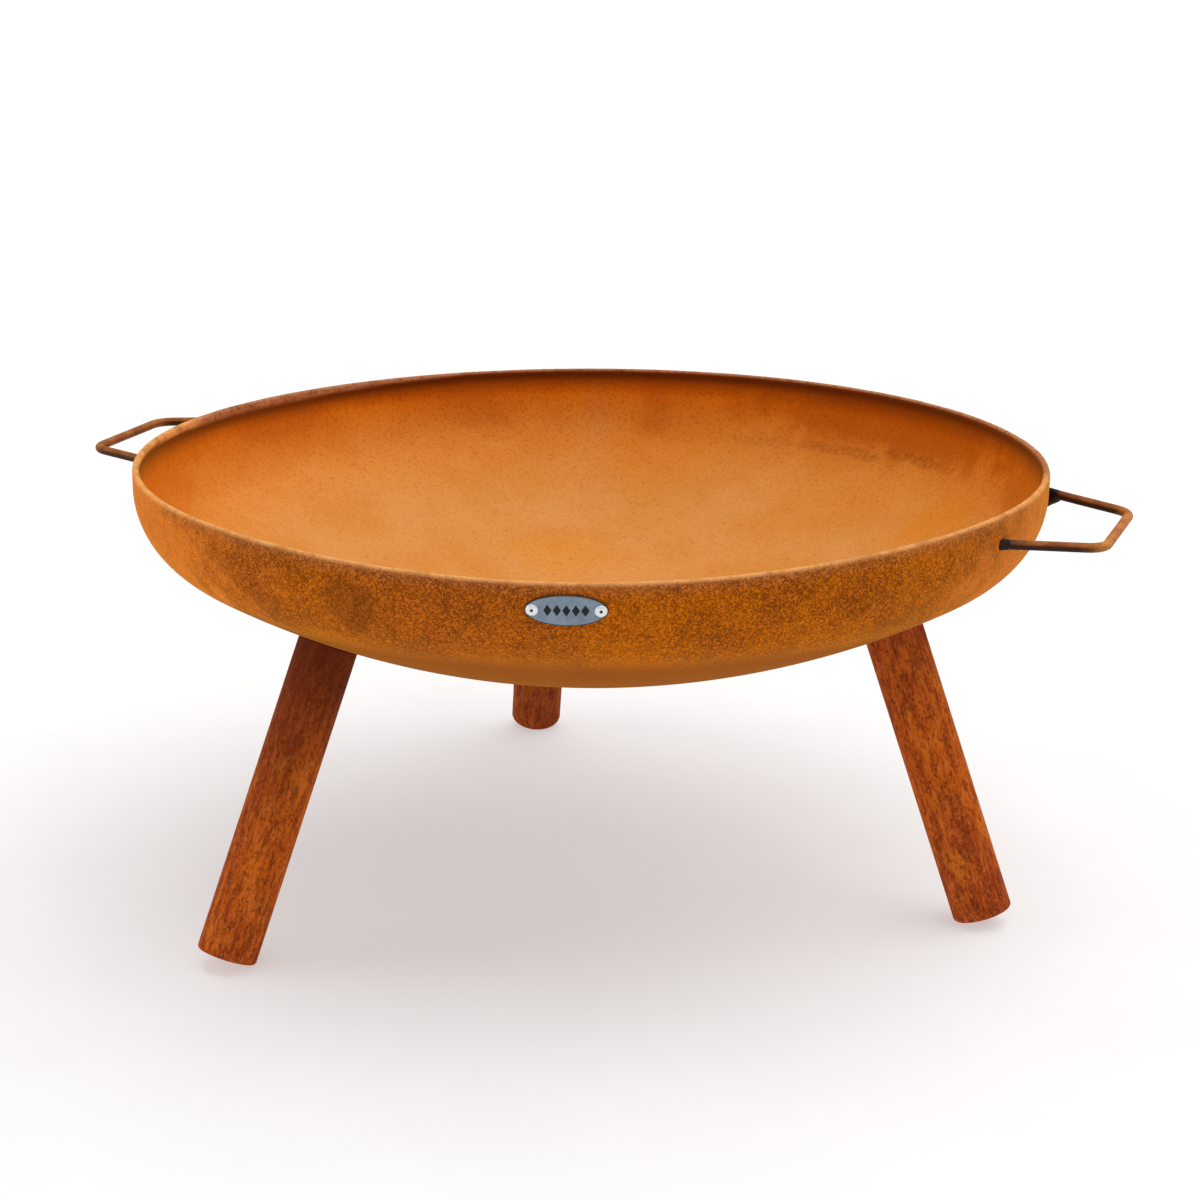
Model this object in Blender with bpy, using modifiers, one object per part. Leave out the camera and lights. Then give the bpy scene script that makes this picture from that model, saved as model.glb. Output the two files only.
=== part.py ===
"""Weathering-steel fire bowl: a thick dished bowl with two welded bar handles and a riveted badge,
standing on three tube legs that screw onto studs under the bowl. The handles lie along X and the
badge faces -Y. Z = 0 is the ground."""

from math import asin, cos, pi, radians, sin, sqrt, tan

import bmesh
import bpy
from mathutils import Matrix, Vector

# Driving dimensions, in metres.
GAP = 0.0003  # clearance between neighbouring pieces

BOWL_R = 0.400  # outside, at the rim
WALL = 0.006
FLANGE = 0.015  # straight part of the wall below the rim
KNUCKLE_R = 0.0735  # outside radius between the wall and the bottom
CROWN_R = 0.700  # outside radius of the bottom
BOWL_STEPS = 96

RIM_Z = 0.3768  # height of the rim over the ground
# Each leg's direction, the reach from the bowl's axis to where the leg's axis meets the bowl, and its lean.
LEGS = {
    "right": (radians(-3.4), 0.2833, radians(20.5)),
    "rear": (radians(118.5), 0.2767, radians(19.9)),
    "left": (radians(-118.1), 0.2869, radians(24.0)),
}
TUBE_R = 0.0254
TUBE_WALL = 0.003
FOOT_FLOOR = 0.005  # thickness of the tube's closed lower end
FOOT_ROUND = 0.003

STUD_R = 0.006
STUD_LENGTH = 0.024
STUD_BORE = 0.0065
STUD_WELD_R = 0.010
PLATE_TOP = -0.005  # the leg's inner plate, below the tube's top edge
PLATE_THICK = 0.004
NUT_FLATS = 0.019
NUT_THICK = 0.010

BAR_R = 0.004
HANDLE_DROP = 0.0191  # from the rim down to the bar's axis
HANDLE_ROOT = 0.0933  # half the distance between the arms, at the bowl
HANDLE_TIP = 0.0614  # half the length of the grip, to the corners
HANDLE_REACH = 0.4646  # from the bowl's axis to the grip
HANDLE_BEND = 0.0215
# Each handle's direction and how far it droops.
HANDLES = {"right": (radians(-0.8), radians(2.7)), "left": (radians(180.7), radians(0.2))}
# Rings of a weld bead: the place along the bar, the growth over the bar's radius and the share of the sag.
BEAD_RINGS = [(0.0090, 0.0006, 0.1), (0.0055, 0.0008, 0.4), (0.0020, 0.0010, 0.8), (-0.0110, 0.0012, 1.0)]
BEAD_SAGS = {"right_a": 0.0080}

BADGE_TURN = radians(-72)
BADGE_ANGLE = radians(8)  # how far round the knuckle the badge sits
BADGE_WIDTH, BADGE_HEIGHT, BADGE_THICK = 0.062, 0.025, 0.0012
RIVET_SPACING = 0.051
RIVET_R = 0.0024
RIVET_BORE = 0.0027
RIVET_HEAD_R = 0.00475

# The bowl's section: a crown arc about the axis, a knuckle arc and a straight flange.
KNUCKLE_X = BOWL_R - KNUCKLE_R
CROWN_LIFT = sqrt((CROWN_R - KNUCKLE_R) ** 2 - KNUCKLE_X**2) - FLANGE  # its centre, above the rim
CROWN_EDGE = asin(KNUCKLE_X / (CROWN_R - KNUCKLE_R))  # where the crown ends, from straight down


def collection(name):
    made = bpy.data.collections.new(name)
    bpy.context.scene.collection.children.link(made)
    return made


def material(name, colour, roughness, metallic):
    made = bpy.data.materials.new(name)
    made.use_nodes = True
    shader = made.node_tree.nodes["Principled BSDF"]
    shader.inputs["Base Color"].default_value = (*colour, 1)
    shader.inputs["Roughness"].default_value = roughness
    shader.inputs["Metallic"].default_value = metallic
    return made


def evaluated_mesh(obj):
    bpy.context.view_layer.update()
    return bpy.data.meshes.new_from_object(obj.evaluated_get(bpy.context.evaluated_depsgraph_get()))


def as_part(obj, surface):
    """Keeps an object as a piece of the fire bowl: modifiers applied, shaded smooth between sharp edges."""
    PARTS.objects.link(obj)
    obj.data = evaluated_mesh(obj)
    obj.modifiers.clear()
    obj.data.name = obj.name
    obj.data.materials.append(surface)
    obj.data.shade_smooth()
    obj.data.set_sharp_from_angle(angle=radians(40))


def as_cutter(obj):
    CUTTERS.objects.link(obj)
    obj.hide_render = True
    obj.display_type = "WIRE"
    return obj


def cut(obj, cutter, operation="DIFFERENCE"):
    modifier = obj.modifiers.new(cutter.name, "BOOLEAN")
    modifier.operation = operation
    modifier.solver = "EXACT"
    modifier.object = cutter


def arc(centre, radius, start, end, steps):
    """Points of an arc in the XZ plane, with angles from +X towards +Z."""
    turns = [start + (end - start) * i / steps for i in range(steps + 1)]
    return [(centre[0] + radius * cos(t), centre[1] + radius * sin(t)) for t in turns]


def revolved(name, section, steps, ring=False, matrix=None):
    """A section in the XZ plane turned about Z. It runs down its outer side; a ring's section closes."""
    mesh = bpy.data.meshes.new(name)
    edges = [(i, i + 1) for i in range(len(section) - 1)]
    if ring:
        edges.append((len(section) - 1, 0))
    mesh.from_pydata([(x, 0, z) for x, z in section], edges, [])
    obj = bpy.data.objects.new(name, mesh)
    obj.matrix_world = matrix or Matrix()
    screw = obj.modifiers.new("Turn", "SCREW")
    screw.steps = screw.render_steps = steps
    screw.use_merge_vertices = True
    screw.merge_threshold = 0.0001
    return obj


def bowl_side(offset):
    """The section of the bowl's outside, moved outwards by offset, from below the rim to the axis."""
    knuckle = arc((KNUCKLE_X, RIM_Z - FLANGE), KNUCKLE_R + offset, 0, CROWN_EDGE - pi / 2, 8)
    crown = arc((0, RIM_Z + CROWN_LIFT), CROWN_R + offset, CROWN_EDGE - pi / 2, -pi / 2, 8)
    return knuckle + crown[1:-1] + [(0, crown[-1][1])]


def bar(name, points, radius, matrix):
    """A round bar along a path, as a closed mesh."""
    curve = bpy.data.curves.new(name, "CURVE")
    curve.dimensions = "3D"
    curve.bevel_depth = radius
    curve.bevel_resolution = 4
    curve.use_fill_caps = True
    spline = curve.splines.new("POLY")
    spline.points.add(len(points) - 1)
    for point, at in zip(spline.points, points):
        point.co = (*at, 1)
    source = bpy.data.objects.new(name + "_path", curve)
    bpy.context.scene.collection.objects.link(source)
    mesh = evaluated_mesh(source)
    bpy.data.objects.remove(source)
    work = bmesh.new()
    work.from_mesh(mesh)
    bmesh.ops.remove_doubles(work, verts=work.verts, dist=1e-6)
    bmesh.ops.recalc_face_normals(work, faces=work.faces)
    work.to_mesh(mesh)
    work.free()
    obj = bpy.data.objects.new(name, mesh)
    obj.matrix_world = matrix
    return obj


def cylinder(name, radius, low, high, matrix, sides, scale_y=1):
    """A closed cylinder along the matrix's Z, from low to high."""
    mesh = bpy.data.meshes.new(name)
    work = bmesh.new()
    bmesh.ops.create_cone(
        work, cap_ends=True, segments=sides, radius1=radius, radius2=radius, depth=high - low,
        matrix=Matrix.Translation((0, 0, (low + high) / 2)) @ Matrix.Diagonal((1, scale_y, 1, 1)),
    )
    work.to_mesh(mesh)
    work.free()
    obj = bpy.data.objects.new(name, mesh)
    obj.matrix_world = matrix
    return obj


def bead(name, sag, matrix):
    """A solid bead round the matrix's Z, drawn down by sag where it meets the wall."""
    mesh = bpy.data.meshes.new(name)
    work = bmesh.new()
    turns = [2 * pi * i / 24 for i in range(24)]
    rings = []
    for along, growth, share in BEAD_RINGS:
        radius = BAR_R + growth
        heights = [sin(t) * (radius + (sag * share if sin(t) < 0 else 0)) for t in turns]
        rings.append([work.verts.new((radius * cos(t), y, along)) for t, y in zip(turns, heights)])
    for low, high in zip(rings, rings[1:]):
        for i in range(24):
            work.faces.new((low[i], low[i - 1], high[i - 1], high[i]))
    work.faces.new(rings[0])
    work.faces.new(rings[-1])
    bmesh.ops.recalc_face_normals(work, faces=work.faces)
    work.to_mesh(mesh)
    work.free()
    obj = bpy.data.objects.new(name, mesh)
    obj.matrix_world = matrix
    return obj


def tube_section(length):
    """A leg tube with a closed, rounded foot. Its top reaches into the bowl, where it is cut to fit."""
    return [
        (0, FOOT_FLOOR - length),
        (TUBE_R - TUBE_WALL, FOOT_FLOOR - length),
        (TUBE_R - TUBE_WALL, 0.0025),
        (TUBE_R, 0.0025),
        *arc((TUBE_R - FOOT_ROUND, FOOT_ROUND - length), FOOT_ROUND, 0, -pi / 2, 4),
        (0, -length),
    ]


def handle_path():
    """The bar's axis for a handle on +X: out along one arm, round two bends and back along the other."""
    root = Vector((sqrt(BOWL_R**2 - HANDLE_ROOT**2), HANDLE_ROOT, 0))
    corner = Vector((HANDLE_REACH, HANDLE_TIP, 0))
    out = (corner - root).normalized()
    along = Vector((0, -1, 0))
    turn = out.angle(along)
    first = corner - out * HANDLE_BEND * tan(turn / 2)
    side = Vector((out.y, -out.x, 0))
    centre = first + side * HANDLE_BEND
    bend = [centre + Matrix.Rotation(-turn * i / 8, 3, "Z") @ (first - centre) for i in range(9)]
    half = [root - out * 0.012, *bend]
    return half + [Vector((p.x, -p.y, 0)) for p in reversed(half)], root, out


for old in list(bpy.data.objects):
    bpy.data.objects.remove(old)
PARTS = collection("fire_bowl")
CUTTERS = collection("cutters")

rust = material("bowl_rust", (0.47, 0.19, 0.045), 0.85, 0.0)
leg_rust = material("leg_rust", (0.28, 0.075, 0.02), 0.88, 0.0)
bar_brown = material("bar_brown", (0.13, 0.055, 0.025), 0.6, 0.3)
scorched = material("weld_scorched", (0.02, 0.014, 0.012), 0.7, 0.3)
zinc = material("fastener_zinc", (0.45, 0.45, 0.46), 0.4, 1.0)
badge_blue = material("badge_grey_blue", (0.21, 0.28, 0.36), 0.45, 0.4)
rivet_white = material("rivet_aluminium", (0.82, 0.83, 0.84), 0.35, 1.0)

# The bowl: inside from the axis up to the rim, over the rounded lip and down the outside.
lip = arc((BOWL_R - WALL / 2, RIM_Z - WALL / 2), WALL / 2, pi, 0, 6)
shell = revolved("bowl_shell", bowl_side(-WALL)[::-1] + lip + bowl_side(0), BOWL_STEPS)
wall_keep_out = [(0, RIM_Z + 0.02), (BOWL_R + GAP, RIM_Z + 0.02), *bowl_side(GAP)]
wall_cutter = as_cutter(revolved("wall_keep_out", wall_keep_out, BOWL_STEPS))

# Handles: one bent bar each side, its ends shaped to the wall, and a weld round each end.
path, arm_root, arm_out = handle_path()
for side, (turn, droop) in HANDLES.items():
    place = Matrix.Rotation(turn, 4, "Z") @ Matrix.Translation((BOWL_R, 0, RIM_Z - HANDLE_DROP))
    place = place @ Matrix.Rotation(droop, 4, "Y") @ Matrix.Translation((-BOWL_R, 0, 0))
    handle = bar(f"handle_{side}", path, BAR_R, place)
    cut(handle, wall_cutter)
    as_part(handle, bar_brown)
    for end, flip in (("a", 1), ("b", -1)):
        root = Vector((arm_root.x, arm_root.y * flip, 0))
        out = Vector((arm_out.x, arm_out.y * flip, 0))
        aim = place @ Matrix.Translation(root) @ out.to_track_quat("Z", "Y").to_matrix().to_4x4()
        weld = bead(f"handle_weld_{side}_{end}", BEAD_SAGS.get(f"{side}_{end}", 0.0004), aim)
        cut(weld, as_cutter(cylinder(f"bar_clearance_{side}_{end}", BAR_R + GAP, -0.03, 0.02, aim, sides=24)))
        cut(weld, wall_cutter)
        as_part(weld, scorched)

# Legs, each drawn along Z down from the point where its axis meets the bowl.
plate_low = PLATE_TOP - PLATE_THICK
nut_top = plate_low - GAP
plate_section = [
    (TUBE_R - TUBE_WALL - GAP, PLATE_TOP),
    (TUBE_R - TUBE_WALL - GAP, plate_low),
    (STUD_BORE, plate_low),
    (STUD_BORE, PLATE_TOP),
]
stud_section = [(0, -0.0009), (STUD_R, -0.0009), (STUD_R, 0.001 - STUD_LENGTH)]
stud_section += [(0.005, -STUD_LENGTH), (0, -STUD_LENGTH)]
stud_weld_section = [
    (STUD_WELD_R, -0.0010),
    (STUD_R + 0.0022, -0.0026),
    (STUD_R + 0.0012, -0.0042),
    (STUD_R + GAP, -0.0042),
    (STUD_R + GAP, -0.0010),
]
for side, (turn, reach, lean) in LEGS.items():
    top = RIM_Z + CROWN_LIFT - sqrt(CROWN_R**2 - reach**2)
    length = FOOT_ROUND + (top - FOOT_ROUND - (TUBE_R - FOOT_ROUND) * sin(lean)) / cos(lean)
    axis = Matrix.Rotation(turn, 4, "Z") @ Matrix.Translation((reach, 0, top))
    axis = axis @ Matrix.Rotation(-lean, 4, "Y")
    tube = revolved(f"leg_tube_{side}", tube_section(length), 48, matrix=axis)
    cut(tube, wall_cutter)
    as_part(tube, leg_rust)
    as_part(revolved(f"leg_plate_{side}", plate_section, 32, ring=True, matrix=axis), zinc)
    as_part(revolved(f"stud_{side}", stud_section, 24, matrix=axis), zinc)
    as_part(revolved(f"stud_weld_{side}", stud_weld_section, 24, ring=True, matrix=axis), scorched)
    nut = cylinder(f"nut_{side}", NUT_FLATS / sqrt(3), nut_top - NUT_THICK, nut_top, axis, sides=6)
    cut(nut, as_cutter(cylinder(f"nut_bore_{side}", STUD_BORE, -0.04, 0, axis, sides=24)))
    as_part(nut, zinc)

# The badge bends round the wall in one direction; its own axes are along, up and out of the wall.
normal_reach = (KNUCKLE_X + KNUCKLE_R * cos(BADGE_ANGLE)) / cos(BADGE_ANGLE)  # to the bowl's axis
badge_place = (
    Matrix.Rotation(BADGE_TURN, 4, "Z")
    @ Matrix.Translation(
        (KNUCKLE_X + KNUCKLE_R * cos(BADGE_ANGLE), 0, RIM_Z - FLANGE - KNUCKLE_R * sin(BADGE_ANGLE))
    )
    @ Matrix.Rotation(BADGE_ANGLE, 4, "Y")
    @ Matrix(((0, 0, 1, 0), (1, 0, 0, 0), (0, 1, 0, 0), (0, 0, 0, 1)))
)
bend_axis = badge_place @ Matrix.Translation((0, 0, -normal_reach)) @ Matrix.Rotation(-pi / 2, 4, "X")
back, face = normal_reach + GAP, normal_reach + GAP + BADGE_THICK
sheet = [(face, BADGE_HEIGHT), (face, -BADGE_HEIGHT), (back, -BADGE_HEIGHT), (back, BADGE_HEIGHT)]
badge = revolved("badge_plate", sheet, 360, ring=True, matrix=bend_axis)
cut(badge, as_cutter(
    cylinder("badge_outline", BADGE_WIDTH / 2, -0.02, 0.02, badge_place, 64, BADGE_HEIGHT / BADGE_WIDTH)
), "INTERSECT")

# Blind rivets: a domed head with its mandrel hole, the shank through the wall and the bulb inside.
bulb = -(BADGE_THICK + GAP + WALL + GAP)
rivet_section = [
    (0, 0.0008),
    (0.0010, 0.0008),
    (0.0012, 0.0018),
    (0.0030, 0.0016),
    (0.0042, 0.0010),
    (RIVET_HEAD_R, GAP),
    (RIVET_R, GAP),
    (RIVET_R, bulb),
    (0.0036, bulb - 0.0006),
    (0.0036, bulb - 0.0035),
    (0.0024, bulb - 0.0052),
    (0, bulb - 0.0052),
]
for side, sign in (("left", -1), ("right", 1)):
    swing = Matrix.Rotation(sign * RIVET_SPACING / 2 / normal_reach, 4, "Y")
    outward = badge_place @ Matrix.Translation((0, 0, -normal_reach)) @ swing
    on_face = outward @ Matrix.Translation((0, 0, face))
    bore = as_cutter(cylinder(f"rivet_bore_{side}", RIVET_BORE, -0.02, 0.01, on_face, sides=24))
    cut(badge, bore)
    cut(shell, bore)
    as_part(revolved(f"badge_rivet_{side}", rivet_section, 24, matrix=on_face), rivet_white)
as_part(badge, badge_blue)
as_part(shell, rust)
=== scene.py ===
"""Looks for the weathering-steel fire bowl: rusted bowl, bar handles, tube legs and a riveted badge."""

import math

import bmesh
import bpy
import numpy as np
from mathutils import Matrix, Vector, noise


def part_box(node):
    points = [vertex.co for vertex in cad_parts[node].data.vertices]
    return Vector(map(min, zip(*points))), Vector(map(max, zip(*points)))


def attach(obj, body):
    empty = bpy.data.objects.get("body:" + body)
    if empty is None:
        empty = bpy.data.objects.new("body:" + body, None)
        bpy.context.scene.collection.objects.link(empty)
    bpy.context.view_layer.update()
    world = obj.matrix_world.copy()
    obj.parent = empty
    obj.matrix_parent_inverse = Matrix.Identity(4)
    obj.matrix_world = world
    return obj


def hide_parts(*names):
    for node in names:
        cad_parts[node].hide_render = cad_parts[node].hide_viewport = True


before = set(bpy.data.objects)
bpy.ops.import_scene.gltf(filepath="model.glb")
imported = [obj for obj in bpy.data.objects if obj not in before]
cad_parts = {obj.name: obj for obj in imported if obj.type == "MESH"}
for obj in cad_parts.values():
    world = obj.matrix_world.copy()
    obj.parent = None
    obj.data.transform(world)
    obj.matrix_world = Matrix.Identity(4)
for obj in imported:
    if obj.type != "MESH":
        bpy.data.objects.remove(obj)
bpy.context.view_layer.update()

# Sizes of the CAD frame, in metres.
BOWL_R = 0.400
WALL = 0.006
FLANGE = 0.015
KNUCKLE_R = 0.0735
CROWN_R = 0.700
KNUCKLE_X = BOWL_R - KNUCKLE_R
CROWN_LIFT = math.sqrt((CROWN_R - KNUCKLE_R) ** 2 - KNUCKLE_X**2) - FLANGE
CROWN_EDGE = math.asin(KNUCKLE_X / (CROWN_R - KNUCKLE_R))
RIM_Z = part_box("bowl_shell")[1].z
# Each leg's angle about the bowl's axis, its distance from the axis at the top, and its lean.
LEGS = {"right": (-3.4, 0.2833, 20.5), "rear": (118.5, 0.2767, 19.9), "left": (-118.1, 0.2869, 24.0)}
# Painted shade on each leg: how dark it is at its top and at its foot.
LEG_SHADE = {"right": (0.08, 0.05), "rear": (0.75, 0.4), "left": (0.82, 0.0)}
TUBE_R = 0.0254
TUBE_WALL = 0.003
FOOT_ROUND = 0.003
FOOT_FLOOR = 0.005
BAR_R = 0.004
HANDLE_DROP = 0.0191
HANDLE_ROOT = 0.0933
HANDLE_TIP = 0.0614
HANDLE_REACH = 0.4646
HANDLE_BEND = 0.0215
# Each handle's angle about the bowl's axis and its droop, in degrees.
HANDLES = {"right": (-0.8, 2.7), "left": (180.7, 0.2)}
# How pale each handle's tip is, from wear and a painted highlight.
TIP_WEAR_AND_HIGHLIGHT = {"right": 1.0, "left": 0.3}
# How far a weld bead hangs down under its bar, and how far it is drawn out along it.
BEAD_PLAIN = (0.0003, 1.0)
BEAD_DRAWN = {"right_a": (0.0086, 1.9)}
BADGE_TURN = math.radians(-72)
BADGE_ANGLE = math.radians(8)
BADGE_W, BADGE_H, BADGE_T = 0.062, 0.025, 0.0012
BADGE_RECESS = 0.00022
LOZENGE_PITCH, LOZENGE_W, LOZENGE_H, LOZENGE_T, LOZENGE_SINK = 0.0070, 0.0064, 0.0096, 0.00020, 0.00030
RIVET_SPACING = 0.051
RIVET_HOLE = 0.00115
GAP = 0.0003

# How finely the round bodies are divided.
BOWL_STEPS, LEG_STEPS, BEAD_STEPS, RIVET_STEPS, BADGE_STEPS, BAR_STEPS = 384, 96, 40, 48, 128, 32
KNUCKLE_STEPS, CROWN_STEPS, FLANGE_STEPS, LIP_STEPS = 16, 56, 5, 12
TUBE_ROWS = 50
BEND_STEPS = 18

# The lip was formed by hand: angles about the bowl's axis, in degrees, and heights over a level lip.
LIP_HEIGHTS = ((-125, 0.0030), (-72, -0.0045), (-15, 0.0050), (40, 0.0016), (150, -0.0012))

# The lip's pale band of wear and painted highlight reaches further down the inside between these angles. It
# grows from the first to the second and fades from the third to the fourth.
WIDE_LIP = (128, 156, 180, 215)
WIDE_LIP_REACH = 0.0056

# Marks on the bowl, some of them patches of painted shade and painted light: the angle about its axis, the
# distance from it and the depth below the rim, then the half sizes outwards, along the wall and up, the
# strength and the display colour.
INNER_MARKS_AND_SHADE = (
    # Painted shade on the far wall towards the right, under the rim.
    (60, 0.394, 0.028, (0.12, 0.24, 0.034), 0.60, (176, 80, 0)),
    (109, 0.340, 0.080, (0.12, 0.024, 0.085), 0.30, (214, 136, 72)),
    (100, 0.386, 0.046, (0.05, 0.024, 0.028), 0.35, (188, 84, 18)),
    (128, 0.389, 0.041, (0.06, 0.060, 0.022), 0.30, (182, 84, 28)),
    (161, 0.392, 0.026, (0.08, 0.080, 0.024), 0.28, (168, 78, 16)),
    # This and the next: painted shade on the upper inner wall towards the left and right ends.
    (200, 0.394, 0.034, (0.12, 0.180, 0.060), 0.45, (200, 92, 2)),
    (16, 0.394, 0.034, (0.12, 0.140, 0.045), 0.50, (180, 82, 0)),
    (38, 0.345, 0.083, (0.06, 0.045, 0.040), 0.60, (222, 132, 22)),
    (118, 0.200, 0.145, (0.05, 0.060, 0.030), 0.45, (226, 142, 44)),
)
# A broken line of pits on the far wall: angles, distances, depths, half sizes and strengths as above.
PIT_LINE = (
    (82, 0.375, 0.061, (0.04, 0.046, 0.0065), 0.28),
    (68, 0.378, 0.059, (0.05, 0.074, 0.0060), 0.42),
    (54, 0.382, 0.053, (0.05, 0.066, 0.0060), 0.46),
)
OUTER_MARKS_AND_LIGHT = (
    # The first two are painted light on the outer wall towards the left and right sides.
    (-146, 0.400, 0.040, (0.18, 0.27, 0.090), 0.85, (242, 130, 42)),
    (-2, 0.400, 0.045, (0.12, 0.16, 0.075), 0.70, (226, 122, 50)),
    (-97, 0.393, 0.038, (0.05, 0.036, 0.030), 0.45, (118, 52, 16)),
    (-60, 0.396, 0.055, (0.06, 0.060, 0.024), 0.45, (206, 108, 6)),
)
# The dark net of the outside fades within the outer patches of painted light, whose half sizes all pass
# this.
LARGE_LIT_PATCH = 0.07


# ---------------------------------------------------------------- meshes


def arc(centre, radius, start, end, steps):
    """Points on a circle between two angles."""
    turns = [start + (end - start) * i / steps for i in range(steps + 1)]
    return [(centre[0] + radius * math.cos(t), centre[1] + radius * math.sin(t)) for t in turns]


def new_object(name, mesh, matrix=None):
    obj = bpy.data.objects.new(name, mesh)
    obj.matrix_world = matrix or Matrix()
    bpy.context.scene.collection.objects.link(obj)
    return obj


def smooth(mesh, angle=40):
    mesh.shade_smooth()
    mesh.set_sharp_from_angle(angle=math.radians(angle))


def lathe(name, section, steps, matrix=None, ring=False, bump=None):
    """A closed turned body, whose section runs from axis to axis or round in a ring.

    bump(angle, i, x, z) gives the place of the section's point i at that angle.
    """
    mesh = bpy.data.meshes.new(name)
    work = bmesh.new()
    rows = []
    for i, (x, z) in enumerate(section):
        if x < 1e-7:
            rows.append([work.verts.new((0, 0, z))] * steps)
            continue
        row = []
        for k in range(steps):
            t = 2 * math.pi * k / steps
            px, pz = bump(t, i, x, z) if bump else (x, z)
            row.append(work.verts.new((px * math.cos(t), px * math.sin(t), pz)))
        rows.append(row)
    pairs = list(zip(rows, rows[1:])) + ([(rows[-1], rows[0])] if ring else [])
    for low, high in pairs:
        for k in range(steps):
            n = (k + 1) % steps
            corners = [low[k], low[n], high[n], high[k]]
            corners = [v for j, v in enumerate(corners) if v not in corners[:j]]
            if len(corners) > 2:
                work.faces.new(corners)
    bmesh.ops.recalc_face_normals(work, faces=work.faces)
    work.to_mesh(mesh)
    work.free()
    smooth(mesh)
    return new_object(name, mesh, matrix)


def bowl_profile(offset):
    """The bowl's outside moved outwards by offset, from below the rim to the axis."""
    meet = CROWN_EDGE - math.pi / 2
    knuckle = arc((KNUCKLE_X, RIM_Z - FLANGE), KNUCKLE_R + offset, 0, meet, KNUCKLE_STEPS)
    crown = arc((0, RIM_Z + CROWN_LIFT), CROWN_R + offset, meet, -math.pi / 2, CROWN_STEPS)
    return knuckle + crown[1:-1] + [(0.0, crown[-1][1])]


# ---------------------------------------------------------------- shader nodes


class Shader:
    """A Principled material and short calls that add nodes to it."""

    def __init__(self, name):
        self.material = bpy.data.materials.new(name)
        self.material.use_nodes = True
        self.tree = self.material.node_tree
        self.bsdf = self.tree.nodes["Principled BSDF"]
        self.coords = self.tree.nodes.new("ShaderNodeTexCoord").outputs["Object"]

    def node(self, kind, inputs=None, **settings):
        made = self.tree.nodes.new("ShaderNode" + kind)
        for key, value in settings.items():
            setattr(made, key, value)
        for key, value in (inputs or {}).items():
            self.put(made.inputs[key], value)
        return made

    def put(self, socket, value):
        if isinstance(value, bpy.types.NodeSocket):
            self.tree.links.new(value, socket)
        elif isinstance(value, tuple) and len(value) == 3 and socket.type == "RGBA":
            socket.default_value = (*value, 1)
        else:
            socket.default_value = value

    def math(self, operation, a, b=0.0, c=0.0):
        return self.node("Math", {0: a, 1: b, 2: c}, operation=operation).outputs[0]

    def scaled(self, value, share):
        return self.math("MULTIPLY", value, share)

    def noise(self, scale, detail, rough, vector=None):
        inputs = {"Vector": vector or self.coords, "Scale": scale, "Detail": detail, "Roughness": rough}
        return self.node("TexNoise", inputs).outputs[0]

    def step(self, value, low, high, out_low=0.0, out_high=1.0):
        """A smooth step from out_low to out_high as the value goes from low to high."""
        inputs = {"Value": value, "From Min": low, "From Max": high, "To Min": out_low, "To Max": out_high}
        return self.node("MapRange", inputs, interpolation_type="SMOOTHSTEP").outputs[0]

    def mix(self, share, a, b):
        made = self.node("Mix", data_type="RGBA")
        for socket, value in ((0, share), (6, a), (7, b)):
            self.put(made.inputs[socket], value)
        return made.outputs[2]

    def stretched(self, scale, offset=(0.0, 0.0, 0.0), rotation=(0.0, 0.0, 0.0)):
        inputs = {"Vector": self.coords, "Scale": scale, "Location": offset, "Rotation": rotation}
        return self.node("Mapping", inputs).outputs[0]

    def spot(self, angle, reach, depth, size):
        """1 in an uneven patch round a place on the bowl, falling to 0 outside it."""
        turn = math.radians(angle)
        inputs = {"Vector": self.coords, "Scale": size, "Rotation": (0.0, 0.0, turn),
                  "Location": (reach * math.cos(turn), reach * math.sin(turn), RIM_Z - depth)}
        local = self.node("Mapping", inputs, vector_type="TEXTURE").outputs[0]
        far = self.node("VectorMath", {0: local}, operation="LENGTH").outputs["Value"]
        uneven = self.math("MULTIPLY_ADD", self.noise(38.0, 4, 0.65), 1.3, -1.3 / 2)
        return self.step(self.math("ADD", far, uneven), 0.45, 1.05, 1.0, 0.0)

    def attribute(self, name):
        return self.node("Attribute", attribute_name=name).outputs["Fac"]

    def bump(self, height, strength, distance):
        return self.node("Bump", {"Height": height, "Strength": strength, "Distance": distance}).outputs[0]

    def finish(self, colour, roughness, normal=None, metallic=0.0, specular=0.5):
        values = {"Base Color": colour, "Roughness": roughness, "Metallic": metallic,
                  "Specular IOR Level": specular}
        if normal:
            values["Normal"] = normal
        for key, value in values.items():
            self.put(self.bsdf.inputs[key], value)
        return self.material


def srgb(r, g, b):
    """A linear colour from 0-255 display values."""
    return tuple((c / 255 / 12.92 if c <= 10 else ((c / 255 + 0.055) / 1.055) ** 2.4) for c in (r, g, b))


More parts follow.
